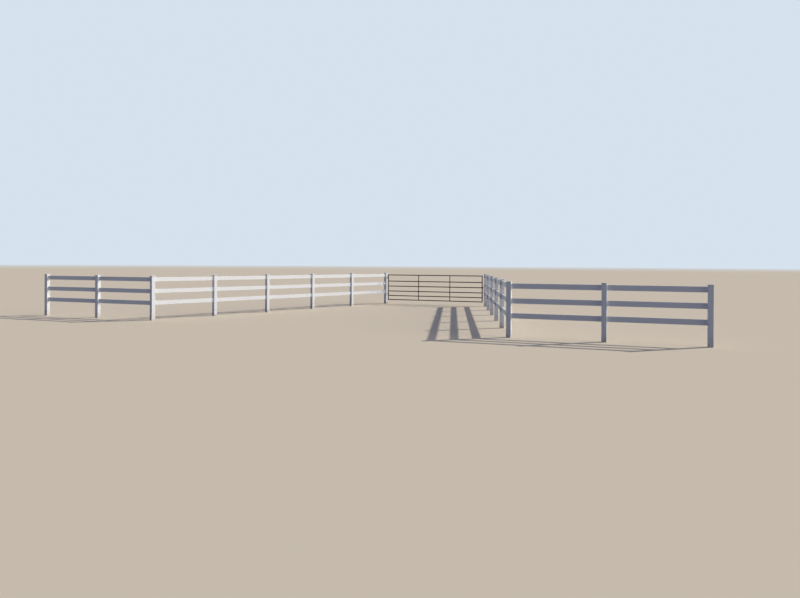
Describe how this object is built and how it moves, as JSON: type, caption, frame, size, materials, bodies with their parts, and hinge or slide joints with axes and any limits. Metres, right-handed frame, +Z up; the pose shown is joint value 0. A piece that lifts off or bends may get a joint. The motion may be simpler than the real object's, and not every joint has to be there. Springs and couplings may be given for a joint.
{
  "type": "ranch gateway",
  "caption": "Farm driveway entrance: a six-bar steel tube gate hung between splayed wings of three-rail white vinyl fence, with short returns along the road.",
  "frame": {"origin": "centre of the hinge post's foot, at ground level", "axes": "+X runs along the closed gate to the latch post, +Y runs into the field away from the road, +Z is up"},
  "size_m": [22.012, 11.8384, 1.516],
  "materials": {
    "white_vinyl": "satin",
    "gate_paint": "satin",
    "zinc_plated_steel": "dull",
    "black_plastic": "matte",
    "concrete": "rough"
  },
  "bodies": {
    "fence": {"hinge_post": "white_vinyl", "left_wing_post_1": "white_vinyl", "left_wing_post_2": "white_vinyl", "left_wing_post_3": "white_vinyl", "left_wing_post_4": "white_vinyl", "left_corner_post": "white_vinyl", "left_road_post": "white_vinyl", "left_end_post": "white_vinyl", "latch_post": "white_vinyl", "right_wing_post_1": "white_vinyl", "right_wing_post_2": "white_vinyl", "right_wing_post_3": "white_vinyl", "right_wing_post_4": "white_vinyl", "right_corner_post": "white_vinyl", "right_road_post": "white_vinyl", "right_end_post": "white_vinyl", "left_post_caps": "white_vinyl", "right_post_caps": "white_vinyl", "left_wing_rails_1": "white_vinyl", "left_wing_rails_2": "white_vinyl", "left_wing_rails_3": "white_vinyl", "left_road_rails": "white_vinyl", "right_wing_rails_1": "white_vinyl", "right_wing_rails_2": "white_vinyl", "right_wing_rails_3": "white_vinyl", "right_road_rails": "white_vinyl", "hinge_post_core": "concrete", "latch_post_core": "concrete", "upper_hinge_hook": "zinc_plated_steel", "lower_hinge_hook": "zinc_plated_steel", "hook_nuts_and_washers": "zinc_plated_steel"},
    "gate": {"hinge_stile": "gate_paint", "latch_stile": "gate_paint", "gate_bottom_bar": "gate_paint", "gate_bar_2": "gate_paint", "gate_bar_3": "gate_paint", "gate_bar_4": "gate_paint", "gate_bar_5": "gate_paint", "gate_top_bar": "gate_paint", "left_upright": "gate_paint", "right_upright": "gate_paint", "upper_hinge_barrel": "gate_paint", "lower_hinge_barrel": "gate_paint", "chain_plate": "gate_paint", "stile_plugs": "black_plastic", "latch_chain": "zinc_plated_steel"}
  },
  "joints": [
    {"name": "gate_swing", "type": "hinge", "parent": "fence", "child": "gate", "pos_m": [0.10854, -0.03318, 0.5], "axis": [0, 0, 1], "range_deg": [-100, 90]}
  ]
}
